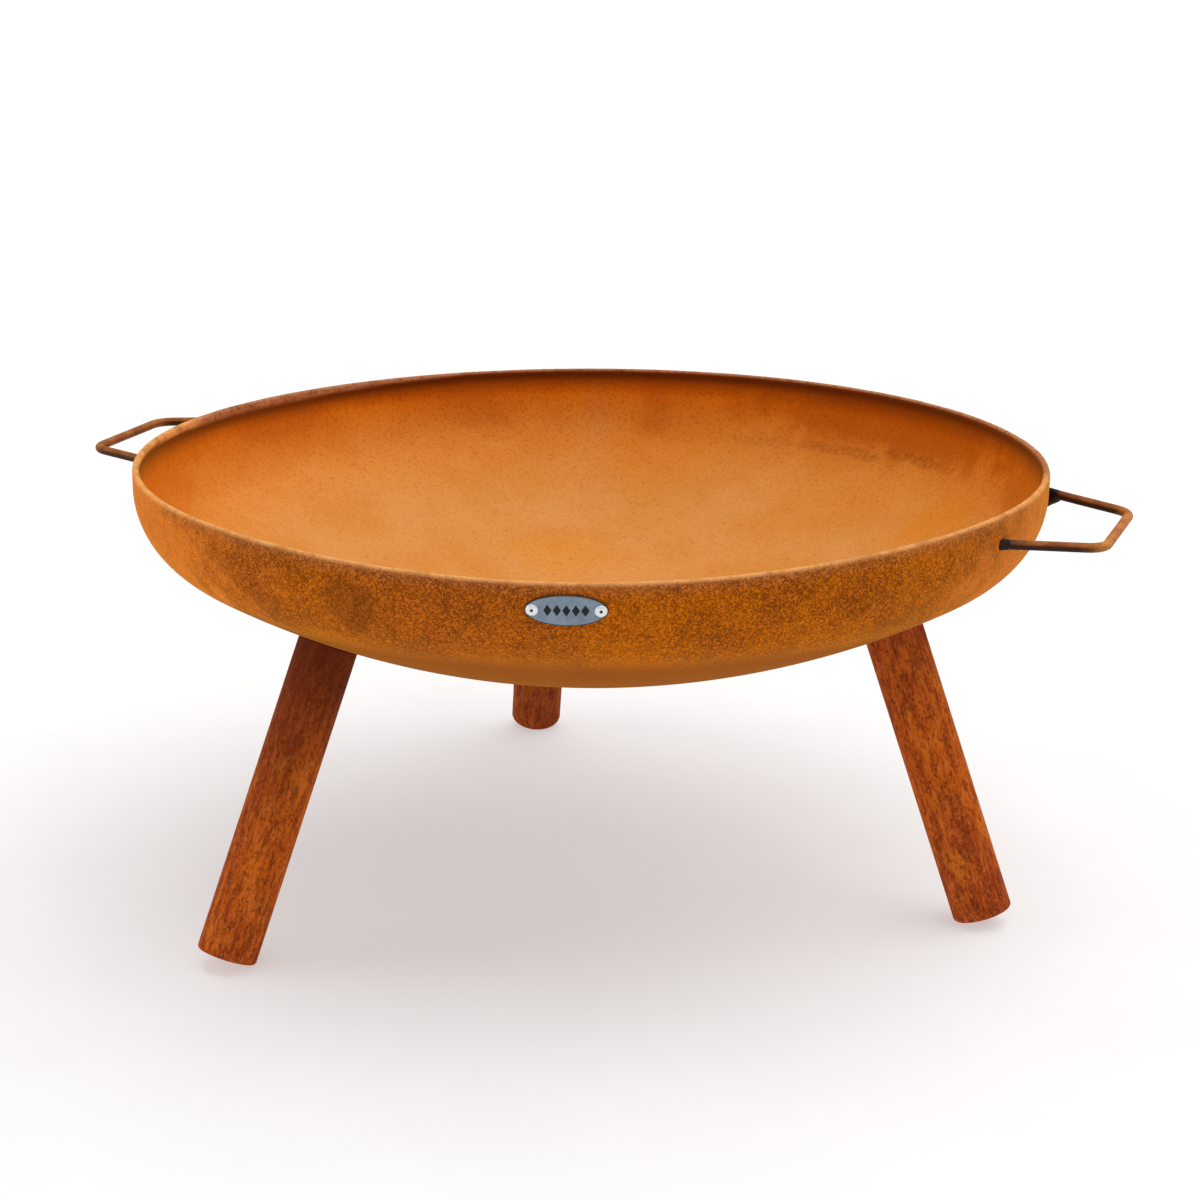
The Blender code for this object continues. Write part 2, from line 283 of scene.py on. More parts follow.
def bowl_material():
    """Weathered rust: ochre inside, orange grains in a dark net outside, a paler rubbed lip with a painted
    highlight on the near side, painted shade under the lip, and patches of painted shade and light on the
    walls.
    """
    s = Shader("bowl_rust")
    outside, crest, brow, lip_shadow, low, edge, shade = (
        s.attribute(name) for name in ("outside", "crest", "brow", "lip_shadow", "low", "edge", "shade"))
    broad = s.noise(4.5, 2, 0.5)
    cloud = s.noise(15.0, 3, 0.55)
    blotch = s.noise(55.0, 3, 0.6)
    grain = s.noise(330.0, 2, 0.65)
    fine = s.noise(900.0, 1, 0.5)

    # Inside: pale ochre low down, deeper orange towards the wall, with faint clouds and a fine grain.
    pale = s.mix(s.step(cloud, 0.35, 0.70), srgb(222, 150, 80), srgb(217, 141, 64))
    deep = s.mix(s.step(cloud, 0.35, 0.65), srgb(233, 130, 8), srgb(225, 116, 10))
    inner = s.mix(edge, pale, deep)
    inner = s.mix(s.step(broad, 0.50, 0.68, 0, 0.40), inner, srgb(220, 128, 30))
    inner = s.mix(s.step(blotch, 0.55, 0.85, 0, 0.30), inner, srgb(188, 96, 30))
    # Inner marks, some of them painted shade on the upper wall.
    for angle, reach, depth, size, share, tone in INNER_MARKS_AND_SHADE:
        inner = s.mix(s.scaled(s.spot(angle, reach, depth, size), share), inner, srgb(*tone))
    pits = s.step(s.noise(250.0, 4, 0.7), 0.40, 0.64, 0.22, 1.0)
    for angle, reach, depth, size, share in PIT_LINE:
        pitted = s.scaled(s.spot(angle, reach, depth, size), s.scaled(pits, share))
        inner = s.mix(pitted, inner, srgb(120, 52, 10))
    rough_edge = s.math("MULTIPLY_ADD", edge, 0.35, 0.40)
    inner = s.mix(s.scaled(s.step(grain, 0.46, 0.80), rough_edge), inner, srgb(164, 78, 18))
    dust = s.mix(edge, srgb(236, 168, 92), srgb(230, 142, 40))
    inner = s.mix(s.step(fine, 0.22, 0.50, 0.35, 0), inner, dust)
    # Painted shade below the lip, and a darker painted shadow line just under its inner edge.
    inner = s.mix(s.scaled(shade, 0.96), inner, srgb(116, 50, 6))
    inner = s.mix(s.scaled(lip_shadow, 0.6), inner, srgb(76, 32, 8))

    # Outside: dark where two fine noises pass their middle values, which draws a net.
    near = [s.math("ABSOLUTE", s.math("SUBTRACT", s.noise(scale, 3, 0.62), 0.5))
            for scale in (215.0, 300.0)]
    drift = s.math("MULTIPLY_ADD", cloud, 0.032, s.math("MULTIPLY_ADD", blotch, 0.030, -0.031))
    net = s.step(s.math("SUBTRACT", s.math("MINIMUM", *near), drift), 0.0, 0.055, 1.0, 0.0)
    outer = s.mix(s.step(cloud, 0.42, 0.64), srgb(204, 106, 6), srgb(184, 88, 14))
    outer = s.mix(s.step(broad, 0.46, 0.66, 0, 0.45), outer, srgb(176, 84, 34))
    outer = s.mix(s.step(fine, 0.35, 0.65, 0, 0.6), outer, srgb(214, 118, 16))
    outer = s.mix(s.scaled(brow, 0.55), outer, srgb(190, 110, 62))
    outer = s.mix(s.scaled(low, 0.9), outer, srgb(146, 56, 0))
    net_share = s.math("MULTIPLY_ADD", low, -0.45, 0.90)
    # Outer marks; the large ones are painted light, which also thins the net there.
    for angle, reach, depth, size, share, tone in OUTER_MARKS_AND_LIGHT:
        here = s.spot(angle, reach, depth, size)
        outer = s.mix(s.scaled(here, share), outer, srgb(*tone))
        if min(size) > LARGE_LIT_PATCH:
            net_share = s.scaled(net_share, s.math("MULTIPLY_ADD", here, -0.6, 1.0))
    outer = s.mix(s.scaled(net, net_share), outer, srgb(98, 42, 8))
    outer = s.mix(s.step(blotch, 0.52, 0.80, 0, 0.22), outer, srgb(118, 54, 18))

    # The lip is rubbed paler and carries a painted highlight: bright on the near side and duller on the far
    # side.
    colour = s.mix(outside, inner, outer)
    wear_and_highlight = s.scaled(crest, s.step(s.noise(60.0, 3, 0.6), 0.25, 0.60, 0.45, 1.0))
    away = s.stretched((1.0, 1.0, 1.0), rotation=(0.0, 0.0, math.radians(-3.5)))
    far_side = s.step(s.node("SeparateXYZ", {"Vector": away}).outputs["Y"], 0.0, 0.06)
    dull = s.mix(s.step(grain, 0.44, 0.72), srgb(194, 130, 90), srgb(146, 90, 60))
    lip = s.mix(s.step(grain, 0.48, 0.75, 0, 0.5), srgb(242, 172, 104), srgb(186, 110, 60))
    colour = s.mix(wear_and_highlight, colour, s.mix(far_side, lip, dull))
    s.bsdf.inputs["Sheen Weight"].default_value = 0.28
    s.bsdf.inputs["Sheen Roughness"].default_value = 0.45
    s.bsdf.inputs["Sheen Tint"].default_value = (1.0, 0.5, 0.04, 1)
    rough = s.step(grain, 0.3, 0.7, 0.78, 0.97)
    coarse = s.math("MULTIPLY_ADD", outside, 0.8, 0.2)
    raised = s.math("MULTIPLY_ADD", grain, coarse, s.scaled(fine, 0.3))
    return s.finish(colour, rough, s.bump(raised, 0.35, 0.0008), specular=0.045)


def leg_material(seed, top_shade, dark):
    """Redder rust with streaks along the tube, darkened by painted shade: by dark at the foot and by the
    top share at the top.
    """
    s = Shader(f"leg_rust_{seed}")
    run = s.stretched((1.0, 1.0, 0.24), (seed * 3.1, seed * 1.7, seed * 0.9))
    here = s.stretched((1.0, 1.0, 0.6), (seed * 1.3, seed * 2.9, seed * 0.7))
    streak = s.noise(210.0, 3, 0.6, run)
    broad = s.noise(13.0, 3, 0.55, s.stretched((1.0, 1.0, 0.5), (seed * 2.3, 0.0, seed * 1.1)))
    patch = s.noise(38.0, 4, 0.6, s.stretched((1.0, 1.0, 0.45), (seed * 0.7, seed * 4.1, 0.0)))
    speck = s.noise(380.0, 3, 0.62, here)
    crumb = s.noise(620.0, 2, 0.6, here)
    up = s.node("SeparateXYZ", {"Vector": s.coords}).outputs["Z"]
    height = s.math("MULTIPLY_ADD", broad, 0.12, up)
    colour = s.mix(s.step(broad, 0.35, 0.65), srgb(204, 96, 16), srgb(168, 68, 24))
    colour = s.mix(s.step(patch, 0.46, 0.68, 0, 0.75), colour, srgb(218, 118, 26))
    colour = s.mix(s.step(streak, 0.46, 0.64, 0, 0.65), colour, srgb(120, 46, 18))
    colour = s.mix(s.step(streak, 0.32, 0.47, 0.6, 0), colour, srgb(222, 116, 44))
    colour = s.mix(s.step(speck, 0.48, 0.64, 0, 0.55), colour, srgb(88, 34, 14))
    colour = s.mix(s.step(crumb, 0.32, 0.47, 0.5, 0), colour, srgb(220, 120, 64))
    # Painted shade, from the foot up to the top of the tube.
    colour = s.mix(s.step(height, -0.12, 0.06, dark, top_shade), colour, srgb(90, 36, 16))
    rough = s.step(speck, 0.3, 0.7, 0.75, 0.95)
    raised = s.math("ADD", s.scaled(streak, 0.6), s.scaled(speck, 0.5))
    return s.finish(colour, rough, s.bump(raised, 0.5, 0.0008), specular=0.08)


def bar_material():
    """Brown steel, warm on top, with its tip rubbed paler and given a painted highlight, and with painted
    shade on the underside.
    """
    s = Shader("bar_brown")
    patch = s.noise(45.0, 4, 0.6)
    speck = s.noise(420.0, 3, 0.6)
    uneven = s.step(patch, 0.35, 0.65)
    top = s.mix(uneven, srgb(172, 100, 46), srgb(134, 74, 32))
    wear_and_highlight = s.mix(uneven, srgb(206, 132, 58), srgb(176, 98, 36))
    top = s.mix(s.attribute("tip"), top, wear_and_highlight)
    # Painted shade on the underside.
    colour = s.mix(s.attribute("under"), top, srgb(52, 26, 10))
    colour = s.mix(s.step(speck, 0.5, 0.75, 0, 0.5), colour, srgb(78, 40, 20))
    colour = s.mix(s.attribute("heated"), colour, srgb(40, 28, 24))
    rough = s.step(speck, 0.3, 0.7, 0.50, 0.75)
    raised = s.math("ADD", speck, patch)
    return s.finish(colour, rough, s.bump(raised, 0.25, 0.0005), specular=0.15)


def weld_material():
    """Lumpy steel burnt nearly black."""
    s = Shader("weld_scorched")
    lump = s.noise(260.0, 3, 0.6)
    colour = s.mix(s.step(lump, 0.45, 0.72), srgb(30, 20, 18), srgb(70, 36, 20))
    rough = s.step(lump, 0.3, 0.7, 0.5, 0.8)
    return s.finish(colour, rough, s.bump(lump, 0.5, 0.0008), specular=0.15)


def zinc_material():
    """Dull plated steel for the hidden fastenings."""
    s = Shader("fastener_zinc")
    cloud = s.noise(300.0, 4, 0.6)
    colour = s.mix(s.step(cloud, 0.35, 0.7), srgb(176, 178, 182), srgb(132, 126, 120))
    rough = s.step(cloud, 0.3, 0.7, 0.3, 0.55)
    return s.finish(colour, rough, s.bump(cloud, 0.15, 0.0003), metallic=1.0)


def badge_material(name, light, dark, roughness, rim=None):
    """Brushed, lightly clouded metal, with a darker rim of painted shade where one is given."""
    s = Shader(name)
    brushed = s.noise(900.0, 2, 0.5, s.stretched((0.06, 1.0, 1.0)))
    cloud = s.noise(120.0, 3, 0.6)
    colour = s.mix(s.step(cloud, 0.3, 0.75), light, dark)
    if rim:
        colour = s.mix(s.attribute("rim"), colour, rim)
    rough = s.step(brushed, 0.3, 0.7, roughness - 0.08, roughness + 0.1)
    return s.finish(colour, rough, s.bump(brushed, 0.08, 0.0002), metallic=0.45)


def rivet_material():
    """Bright aluminium, with painted shade inside the hole of the rivet."""
    s = Shader("rivet_aluminium")
    turned = s.noise(700.0, 2, 0.5)
    colour = s.mix(s.step(turned, 0.35, 0.7), srgb(250, 250, 251), srgb(226, 228, 232))
    colour = s.mix(s.attribute("hole"), colour, srgb(44, 42, 44))
    rough = s.step(turned, 0.3, 0.7, 0.34, 0.5)
    return s.finish(colour, rough, s.bump(turned, 0.08, 0.0002), metallic=0.35)


# ---------------------------------------------------------------- the bowl

inner = bowl_profile(-WALL)[::-1]
outer = bowl_profile(0.0)
lip = arc((BOWL_R - WALL / 2, RIM_Z - WALL / 2), WALL / 2, math.pi, 0, LIP_STEPS)
straight = FLANGE - WALL / 2
flange_rows = range(1, FLANGE_STEPS)
flange_in = [(BOWL_R - WALL, RIM_Z - FLANGE + straight * i / FLANGE_STEPS) for i in flange_rows]
flange_out = [(BOWL_R, RIM_Z - WALL / 2 - straight * i / FLANGE_STEPS) for i in flange_rows]
profile = inner + flange_in + lip + flange_out + outer
lip_first = len(inner) + len(flange_in)
lip_last = lip_first + LIP_STEPS


def lip_height(t):
    """The lip's height at an angle, eased between the highs and lows of LIP_HEIGHTS."""
    degrees = (math.degrees(t) - LIP_HEIGHTS[0][0]) % 360 + LIP_HEIGHTS[0][0]
    stops = LIP_HEIGHTS + ((LIP_HEIGHTS[0][0] + 360, LIP_HEIGHTS[0][1]),)
    for (low, z_low), (high, z_high) in zip(stops, stops[1:]):
        if degrees <= high:
            eased = 0.5 - 0.5 * math.cos(math.pi * (degrees - low) / (high - low))
            return z_low + (z_high - z_low) * eased


def hand_finished(t, i, x, z):
    """Carries the lip's height down the straight part of the wall, and lets its edges wander a little."""
    flange_share = min(1.0, max(0.0, (z - RIM_Z + FLANGE) / straight))
    where = Vector((math.cos(t) * 9, math.sin(t) * 9, 0))
    edge_share = max(0.0, 1 - max(0, lip_first - i, i - lip_last) / 3)
    wander = noise.noise(where) * 0.0005 + noise.noise(where * 5) * 0.00025
    sideways = wander * edge_share * (1 if i > (lip_first + lip_last) / 2 else -0.6)
    return x + sideways, z + lip_height(t) * flange_share - abs(wander) * 0.5 * edge_share


bowl = lathe("bowl", profile, BOWL_STEPS, bump=hand_finished)
radius = np.array([math.hypot(v.co.x, v.co.y) for v in bowl.data.vertices])
height = np.array([v.co.z for v in bowl.data.vertices])


def side_of(x, z):
    """0 on the inside, 1 on the outside, from where a point lies in the wall's thickness."""
    lift = RIM_Z + CROWN_LIFT
    crown = np.hypot(x, lift - z) - (CROWN_R - WALL)
    knuckle = np.hypot(x - KNUCKLE_X, z - (RIM_Z - FLANGE)) - (KNUCKLE_R - WALL)
    in_crown = np.arctan2(x, lift - z) < CROWN_EDGE
    in_knuckle = z < RIM_Z - FLANGE
    thickness = np.where(in_crown, crown, np.where(in_knuckle, knuckle, x - BOWL_R + WALL))
    return np.clip(thickness / WALL, 0, 1)


def put_attribute(obj, name, values):
    """Stores one number for each vertex, which the materials read by name."""
    made = obj.data.attributes.new(name, "FLOAT", "POINT")
    made.data.foreach_set("value", np.asarray(values, np.float32))


def rise(values, low, high):
    """0 below low and 1 above high, with an even slope between them."""
    return np.clip((np.asarray(values) - low) / (high - low), 0, 1)


# Depths are taken from a level rim for the wall and from the real lip for what lies along it.
depth = RIM_Z - height
turns = np.array([math.atan2(v.co.y, v.co.x) for v in bowl.data.vertices])
lip_depth = depth + np.array([lip_height(t) for t in turns])
put_attribute(bowl, "outside", rise(side_of(radius, height), 0.35, 0.65))
outer_edge = rise(radius, BOWL_R - 0.0022, BOWL_R - 0.0004)
outer_half = radius > BOWL_R - WALL / 2
azimuth = np.degrees(turns) % 360
wide = WIDE_LIP_REACH * rise(azimuth, *WIDE_LIP[:2]) * (1 - rise(azimuth, *WIDE_LIP[2:]))
inner_depth = lip_depth - wide
# The crest band, where the lip is rubbed paler and carries its painted highlight.
past_crest = np.where(outer_half, rise(lip_depth, 0.0012, 0.0034), rise(inner_depth, 0.0008, 0.0026))
put_attribute(bowl, "crest", (1 - past_crest) * (1 - 0.35 * outer_edge))
put_attribute(bowl, "low", rise(depth, 0.074, 0.092))
put_attribute(bowl, "edge", 1 - rise(depth, 0.020, 0.108))
put_attribute(bowl, "shade", 1 - rise(lip_depth, 0.006, 0.027))
put_attribute(bowl, "brow", 1 - rise(lip_depth, 0.004, 0.012))
# A painted shadow line just under the inside of the lip.
under_lip = rise(inner_depth, 0.0020, 0.0045) * (1 - rise(inner_depth, 0.0050, 0.0130))
put_attribute(bowl, "lip_shadow", under_lip)
bowl.data.materials.append(bowl_material())
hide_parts("bowl_shell")
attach(bowl, "root")

# ---------------------------------------------------------------- legs

TUBE_EDGE = 0.0006
SEAT_DEPTH = 0.001
crown_centre = Vector((0, 0, RIM_Z + CROWN_LIFT))


def leg_section(length):
    """A tube with a closed, rounded foot, drawn down from the bowl."""
    tube = [(0.0, FOOT_FLOOR - length), (TUBE_R - TUBE_WALL, FOOT_FLOOR - length)]
    tube += [(TUBE_R - TUBE_WALL, 0.0), (TUBE_R - TUBE_EDGE, 0.0), (TUBE_R, -TUBE_EDGE)]
    straight_part = length - FOOT_ROUND - SEAT_DEPTH
    tube += [(TUBE_R, -SEAT_DEPTH - straight_part * i / TUBE_ROWS) for i in range(1, TUBE_ROWS)]
    foot = arc((TUBE_R - FOOT_ROUND, FOOT_ROUND - length), FOOT_ROUND, 0, -math.pi / 2, 8)
    return tube + foot + [(0.0, -length)]


for number, (side_name, (degrees, reach, lean)) in enumerate(LEGS.items()):
    lean = math.radians(lean)
    top = RIM_Z + CROWN_LIFT - math.sqrt(CROWN_R**2 - reach**2)
    foot_rise = (TUBE_R - FOOT_ROUND) * math.sin(lean)
    length = FOOT_ROUND + (top - FOOT_ROUND - foot_rise) / math.cos(lean)
    axis = (
        Matrix.Rotation(math.radians(degrees), 4, "Z")
        @ Matrix.Translation((reach, 0, top))
        @ Matrix.Rotation(-lean, 4, "Y")
    )
    centre = axis.inverted() @ crown_centre

    def seated(t, i, x, z, centre=centre):
        """Lifts the tube's top edge to just under the bowl."""
        across = (x * math.cos(t) - centre.x) ** 2 + (x * math.sin(t) - centre.y) ** 2
        under_bowl = centre.z - math.sqrt((CROWN_R + GAP) ** 2 - across)
        return x, z + (under_bowl if z > -SEAT_DEPTH else 0.0)

    leg = lathe(f"leg_{side_name}", leg_section(length), LEG_STEPS, axis, bump=seated)
    leg.data.materials.append(leg_material(number + 1, *LEG_SHADE[side_name]))
    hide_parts(f"leg_tube_{side_name}")
    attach(leg, "root")

# ---------------------------------------------------------------- handles

root_point = Vector((math.sqrt(BOWL_R**2 - HANDLE_ROOT**2), HANDLE_ROOT, 0))
corner_point = Vector((HANDLE_REACH, HANDLE_TIP, 0))
arm = (corner_point - root_point).normalized()
turn = arm.angle(Vector((0, -1, 0)))
first = corner_point - arm * HANDLE_BEND * math.tan(turn / 2)
centre = first + Vector((arm.y, -arm.x, 0)) * HANDLE_BEND
bend = [centre + Matrix.Rotation(-turn * i / BEND_STEPS, 3, "Z") @ (first - centre)
        for i in range(BEND_STEPS + 1)]
half = [root_point - arm * BAR_R] + [root_point.lerp(first, i / 8) for i in range(8)] + bend
path = half + [Vector((half[-1].x, half[-1].y * k, 0)) for k in (0.5, 0.0, -0.5)]
path += [Vector((p.x, -p.y, 0)) for p in reversed(half)]


def keep_outside(vert, matrix):
    """Moves a vertex that would reach through the wall out to just under the wall's outer face."""
    at = matrix @ vert.co
    reach = math.hypot(at.x, at.y)
    least = BOWL_R - WALL / 3
    if reach < least:
        vert.co = matrix.inverted() @ Vector((at.x * least / reach, at.y * least / reach, at.z))


def handle_bar(name, matrix, wear_and_highlight):
    """A round bar swept along the path in its local XY plane, with closed ends, a tip rubbed paler with a
    painted highlight, and painted shade underneath.
    """
    mesh = bpy.data.meshes.new(name)
    work = bmesh.new()
    rings = []
    for i, point in enumerate(path):
        ahead = (path[min(i + 1, len(path) - 1)] - path[max(i - 1, 0)]).normalized()
        across = Vector((ahead.y, -ahead.x, 0))
        ring = []
        for k in range(BAR_STEPS):
            t = 2 * math.pi * k / BAR_STEPS
            wobble = noise.noise(point * 60 + Vector((math.cos(t), math.sin(t), 0)))
            r = BAR_R * (1 + 0.02 * wobble)
            ring.append(work.verts.new(point + across * math.cos(t) * r + Vector((0, 0, math.sin(t) * r))))
        rings.append(ring)
    for low, high in zip(rings, rings[1:]):
        for k in range(BAR_STEPS):
            n = (k + 1) % BAR_STEPS
            work.faces.new((low[k], low[n], high[n], high[k]))
    work.faces.new(rings[0])
    work.faces.new(rings[-1])
    for vert in work.verts:
        keep_outside(vert, matrix)
    bmesh.ops.recalc_face_normals(work, faces=work.faces)
    work.to_mesh(mesh)
    work.free()
    smooth(mesh)
    obj = new_object(name, mesh, matrix)
    tip = rise([v.co.x for v in mesh.vertices], HANDLE_REACH - 0.014, HANDLE_REACH - 0.002)
    # Painted shade where the bar faces down, weaker at the tip.
    facing_down = rise([-v.normal.z for v in mesh.vertices], -0.52, -0.08)
    past_weld = rise([math.hypot(v.co.x, v.co.y) for v in mesh.vertices], BOWL_R + 0.006, BOWL_R + 0.016)
    put_attribute(obj, "tip", tip * wear_and_highlight)
    put_attribute(obj, "under", facing_down * (1 - 0.75 * tip))
    put_attribute(obj, "heated", 0.9 * (1 - past_weld))
    return obj


brown, scorched = bar_material(), weld_material()
weld_section = [(0.0040, 0.0058), (0.0041, 0.0054), (0.0042, 0.0040), (0.0043, 0.0022), (0.0044, 0.0002),
                (0.0045, -0.0020), (0.0040, -0.0030)]
for side_name, (angle, droop) in HANDLES.items():
    place = (
        Matrix.Rotation(math.radians(angle), 4, "Z")
        @ Matrix.Translation((BOWL_R, 0, RIM_Z - HANDLE_DROP))
        @ Matrix.Rotation(math.radians(droop), 4, "Y")
        @ Matrix.Translation((-BOWL_R, 0, 0))
    )
    handle = handle_bar(f"handle_bar_{side_name}", place, TIP_WEAR_AND_HIGHLIGHT[side_name])
    handle.data.materials.append(brown)
    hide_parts(f"handle_{side_name}")
    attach(handle, "root")
    for end, flip in (("a", 1), ("b", -1)):
        start = Vector((root_point.x, root_point.y * flip, 0))
        out = Vector((arm.x, arm.y * flip, 0))
        aim = place @ Matrix.Translation(start) @ out.to_track_quat("Z", "Y").to_matrix().to_4x4()
        drawn_out = BEAD_DRAWN.get(f"{side_name}_{end}", BEAD_PLAIN)

        def lumpy(t, i, x, z, seed=flip + angle, drawn_out=drawn_out):
            """Adds lumps to a bead, and draws it down under the bar and along it."""
            sag, stretch = drawn_out
            push = noise.noise(Vector((math.cos(t) * 1.6, math.sin(t) * 1.6, z * 260 + seed * 7)))
            share = 0.0 if i in (0, len(weld_section) - 1) else 1.0
            drawn = sag * max(0.0, -math.sin(t)) ** 1.5 * min(1.0, max(0.0, 1 - z / 0.0070))
            z *= stretch if z > 0 else 1.0
            return x * (1 + 0.08 * abs(push) * share) + drawn * share, z + 0.0008 * push * share

        weld = lathe(f"weld_bead_{side_name}_{end}", weld_section, BEAD_STEPS, aim, ring=True, bump=lumpy)
        for vert in weld.data.vertices:
            keep_outside(vert, aim)
        weld.data.materials.append(scorched)
        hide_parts(f"handle_weld_{side_name}_{end}")
        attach(weld, "root")

# ---------------------------------------------------------------- badge

badge_reach = KNUCKLE_X + KNUCKLE_R * math.cos(BADGE_ANGLE)
badge_height = RIM_Z - FLANGE - KNUCKLE_R * math.sin(BADGE_ANGLE)
normal_reach = badge_reach / math.cos(BADGE_ANGLE)
# The badge's own frame has x along the plate, y up it and z out of the wall.
badge_place = (
    Matrix.Rotation(BADGE_TURN, 4, "Z")
    @ Matrix.Translation((badge_reach, 0, badge_height))
    @ Matrix.Rotation(BADGE_ANGLE, 4, "Y")
    @ Matrix(((0, 0, 1, 0), (1, 0, 0, 0), (0, 1, 0, 0), (0, 0, 0, 1)))
)


def wrapped(x, y, lift):
    """A point x along and y up the badge, lift above the wall it bends round."""
    reach, t = normal_reach + lift, x / normal_reach
    return (reach * math.sin(t), y, reach * math.cos(t) - normal_reach)


def badge_plate():
    """A thin oval plate with a rolled edge, bent to the wall."""
    mesh = bpy.data.meshes.new("badge")
    work = bmesh.new()
    low, top = GAP, GAP + BADGE_T
    face = top - BADGE_RECESS
    edge_rows = [(1.0, low), (1.0, top - 0.0003), (0.992, top), (0.968, top + 0.00005), (0.955, face)]
    face_rows = [(share, face) for share in (0.93, 0.85, 0.65, 0.4, 0.2)]
    rings = []
    for share, lift in edge_rows + face_rows:
        half_w, half_h = BADGE_W / 2 * share, BADGE_H / 2 * share
        if (share, lift) in edge_rows:
            inset = (1 - share) * BADGE_H / 2 * 1.6
            half_w, half_h = BADGE_W / 2 - inset, BADGE_H / 2 - inset
        ring = []
        for k in range(BADGE_STEPS):
            t = 2 * math.pi * k / BADGE_STEPS
            ring.append(work.verts.new(wrapped(half_w * math.cos(t), half_h * math.sin(t), lift)))
        rings.append(ring)
    for a, b in zip(rings, rings[1:]):
        for k in range(BADGE_STEPS):
            n = (k + 1) % BADGE_STEPS
            work.faces.new((a[k], a[n], b[n], b[k]))
    middle = work.verts.new(wrapped(0, 0, face))
    back = work.verts.new(wrapped(0, 0, low))
    for k in range(BADGE_STEPS):
        n = (k + 1) % BADGE_STEPS
        work.faces.new((rings[-1][k], rings[-1][n], middle))
        work.faces.new((rings[0][n], rings[0][k], back))
    bmesh.ops.recalc_face_normals(work, faces=work.faces)
    work.to_mesh(mesh)
    work.free()
    smooth(mesh, 30)
    obj = new_object("badge", mesh, badge_place)
    # The rolled edge gets a painted shade.
    rim_verts = (len(edge_rows) - 1) * BADGE_STEPS
    put_attribute(obj, "rim", [1.0 if v.index < rim_verts else 0.0 for v in mesh.vertices])
    return obj


def lozenge_row():
    """A plain row of lozenges that stands for the printed mark."""
    mesh = bpy.data.meshes.new("badge_lozenges")
    work = bmesh.new()
    base = GAP + BADGE_T - LOZENGE_SINK
    for k in range(5):
        x0 = (k - 2) * LOZENGE_PITCH
        rim = [(x0 + LOZENGE_W / 2, 0), (x0, LOZENGE_H / 2), (x0 - LOZENGE_W / 2, 0), (x0, -LOZENGE_H / 2)]
        upper_rim = [(x0 + (x - x0) * 0.9, y * 0.9) for x, y in rim]
        low_ring = [work.verts.new(wrapped(x, y, base)) for x, y in rim]
        high_ring = [work.verts.new(wrapped(x, y, base + LOZENGE_T)) for x, y in upper_rim]
        work.faces.new(high_ring)
        work.faces.new(low_ring[::-1])
        for j in range(4):
            n = (j + 1) % 4
            work.faces.new((low_ring[j], low_ring[n], high_ring[n], high_ring[j]))
    bmesh.ops.recalc_face_normals(work, faces=work.faces)
    work.to_mesh(mesh)
    work.free()
    return new_object("badge_lozenges", mesh, badge_place)


badge = badge_plate()
badge.data.materials.append(
    badge_material("badge_grey_blue", srgb(130, 145, 160), srgb(112, 126, 142), 0.42, rim=srgb(62, 50, 44)))
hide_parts("badge_plate")
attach(badge, "root")

lozenges = lozenge_row()
lozenges.data.materials.append(badge_material("badge_print_dark", srgb(10, 12, 17), srgb(18, 20, 26), 0.5))
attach(lozenges, "root")

# A blind rivet's section: the hole in its head, the dome, and the shank with its set end behind the wall.
rivet_hole = [(0.0, 0.0006), (0.0011, 0.0006), (0.0012, 0.0012), (0.0014, 0.0017)]
rivet_dome = [(0.0022, 0.0017), (0.0032, 0.0014), (0.0041, 0.0009), (0.0046, 0.0004), (0.00475, 0.0001),
              (0.0046, -0.0002)]
rivet_shank = [(0.0024, -0.0002), (0.0024, -0.0080), (0.0036, -0.0086), (0.0036, -0.0115),
               (0.0024, -0.0130), (0.0, -0.0130)]
bright = rivet_material()
for side_name, sign in (("left", -1), ("right", 1)):
    swing = Matrix.Rotation(sign * RIVET_SPACING / 2 / normal_reach, 4, "Y")
    on_face = (
        badge_place
        @ Matrix.Translation((0, 0, -normal_reach))
        @ swing
        @ Matrix.Translation((0, 0, normal_reach + GAP + BADGE_T))
    )
    rivet = lathe(f"rivet_{side_name}", rivet_hole + rivet_dome + rivet_shank, RIVET_STEPS, on_face)
    rivet.data.materials.append(bright)
    # Painted shade inside the rivet's hole.
    in_hole = [v.co.z > 0 and math.hypot(v.co.x, v.co.y) < RIVET_HOLE for v in rivet.data.vertices]
    put_attribute(rivet, "hole", in_hole)
    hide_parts(f"badge_rivet_{side_name}")
    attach(rivet, "root")

# ---------------------------------------------------------------- fastenings kept from the CAD

zinc = zinc_material()
for name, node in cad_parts.items():
    surface = zinc if name.startswith(("nut", "stud_r", "stud_l", "leg_plate")) else None
    surface = scorched if name.startswith("stud_weld") else surface
    if surface:
        node.data.materials.clear()
        node.data.materials.append(surface)

# ---------------------------------------------------------------- stage, light and camera


def floor_material():
    """A pale, faintly glowing floor."""
    s = Shader("floor_pale")
    tone = s.mix(s.step(s.noise(6.0, 3, 0.5), 0.3, 0.7), (0.53, 0.53, 0.528), (0.55, 0.55, 0.548))
    s.bsdf.inputs["Emission Color"].default_value = (1, 1, 1, 1)
    s.bsdf.inputs["Emission Strength"].default_value = 0.45
    return s.finish(tone, 0.9, specular=0.1)


FLOOR_HALF = 200
floor_mesh = bpy.data.meshes.new("floor")
corners = [(x * FLOOR_HALF, y * FLOOR_HALF, 0) for x, y in ((-1, -1), (1, -1), (1, 1), (-1, 1))]
floor_mesh.from_pydata(corners, [], [(0, 1, 2, 3)])
floor = new_object("floor", floor_mesh)
floor.data.materials.append(floor_material())

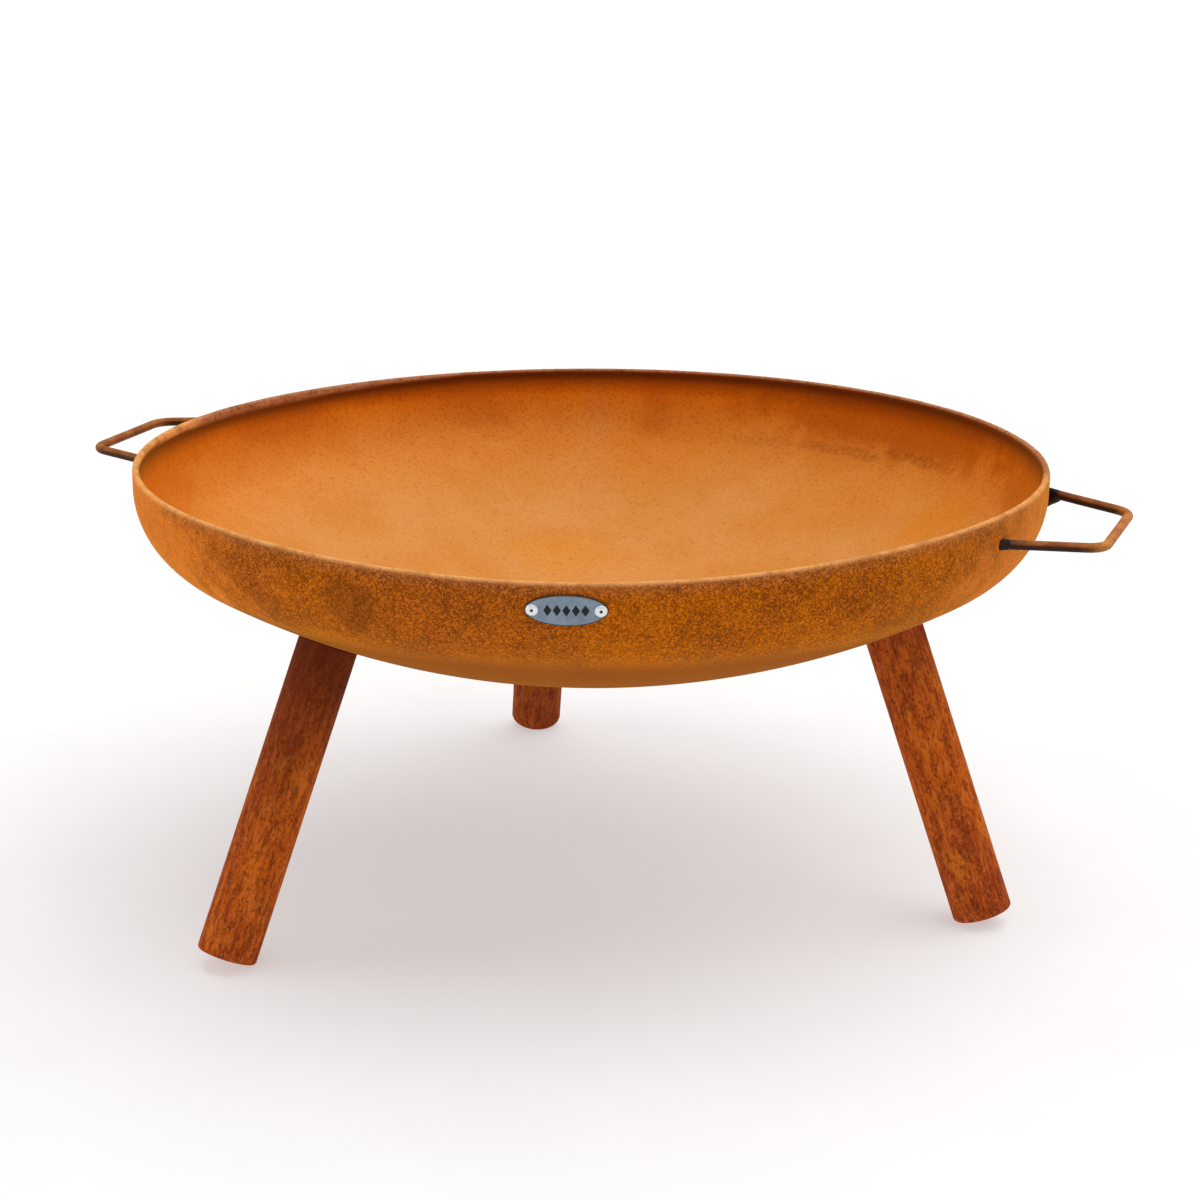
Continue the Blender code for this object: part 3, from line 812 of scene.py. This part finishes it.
world = bpy.data.worlds.new("studio")
bpy.context.scene.world = world
world.use_nodes = True
background = world.node_tree.nodes["Background"]
background.inputs["Color"].default_value = (1.0, 1.0, 1.0, 1)
background.inputs["Strength"].default_value = 0.46


def sun(name, towards, strength, spread):
    """A wide soft light that shines from the direction given, with the same strength everywhere."""
    data = bpy.data.lights.new(name, "SUN")
    data.energy = strength
    data.angle = math.radians(spread)
    lamp = bpy.data.objects.new(name, data)
    lamp.rotation_mode = "QUATERNION"
    lamp.rotation_quaternion = Vector(towards).to_track_quat("Z", "Y")
    bpy.context.scene.collection.objects.link(lamp)


sun("sky_panel", (0.22, 0.30, 1.0), 2.0, 75)
sun("left_panel", (-1.0, -0.45, 0.15), 0.6, 50)

# The camera stands in front, a little to the right, and looks down at the bowl. Angles are in radians.
CAMERA_TURN = 0.35172
CAMERA_DISTANCE = 2.17245
CAMERA_OVER_RIM = 0.50191
PITCH, YAW, ROLL = 0.2946, -0.03629, -0.00131
SENSOR_WIDTH = 36
LENS = 75.369
SHIFT_X, SHIFT_Y = 0.0838333, 0.02025


def place_camera():
    """Aims the camera by yaw, pitch and roll, then turns it as a whole about the bowl's axis."""
    ahead = Vector((math.sin(YAW) * math.cos(PITCH), math.cos(YAW) * math.cos(PITCH), -math.sin(PITCH)))
    right = Vector((math.cos(YAW), -math.sin(YAW), 0))
    up = right.cross(ahead)
    right, up = right * math.cos(ROLL) + up * math.sin(ROLL), up * math.cos(ROLL) - right * math.sin(ROLL)
    turned = Matrix.Rotation(CAMERA_TURN, 3, "Z")
    data = bpy.data.cameras.new("camera")
    data.sensor_width = SENSOR_WIDTH
    data.lens = LENS
    data.shift_x = SHIFT_X
    data.shift_y = SHIFT_Y
    camera = bpy.data.objects.new("camera", data)
    camera.matrix_world = (turned @ Matrix((right, up, -ahead)).transposed()).to_4x4()
    camera.location = turned @ Vector((0, -CAMERA_DISTANCE, CAMERA_OVER_RIM)) + Vector((0, 0, RIM_Z))
    bpy.context.scene.collection.objects.link(camera)
    bpy.context.scene.camera = camera


place_camera()
bpy.context.scene.view_settings.view_transform = "Standard"
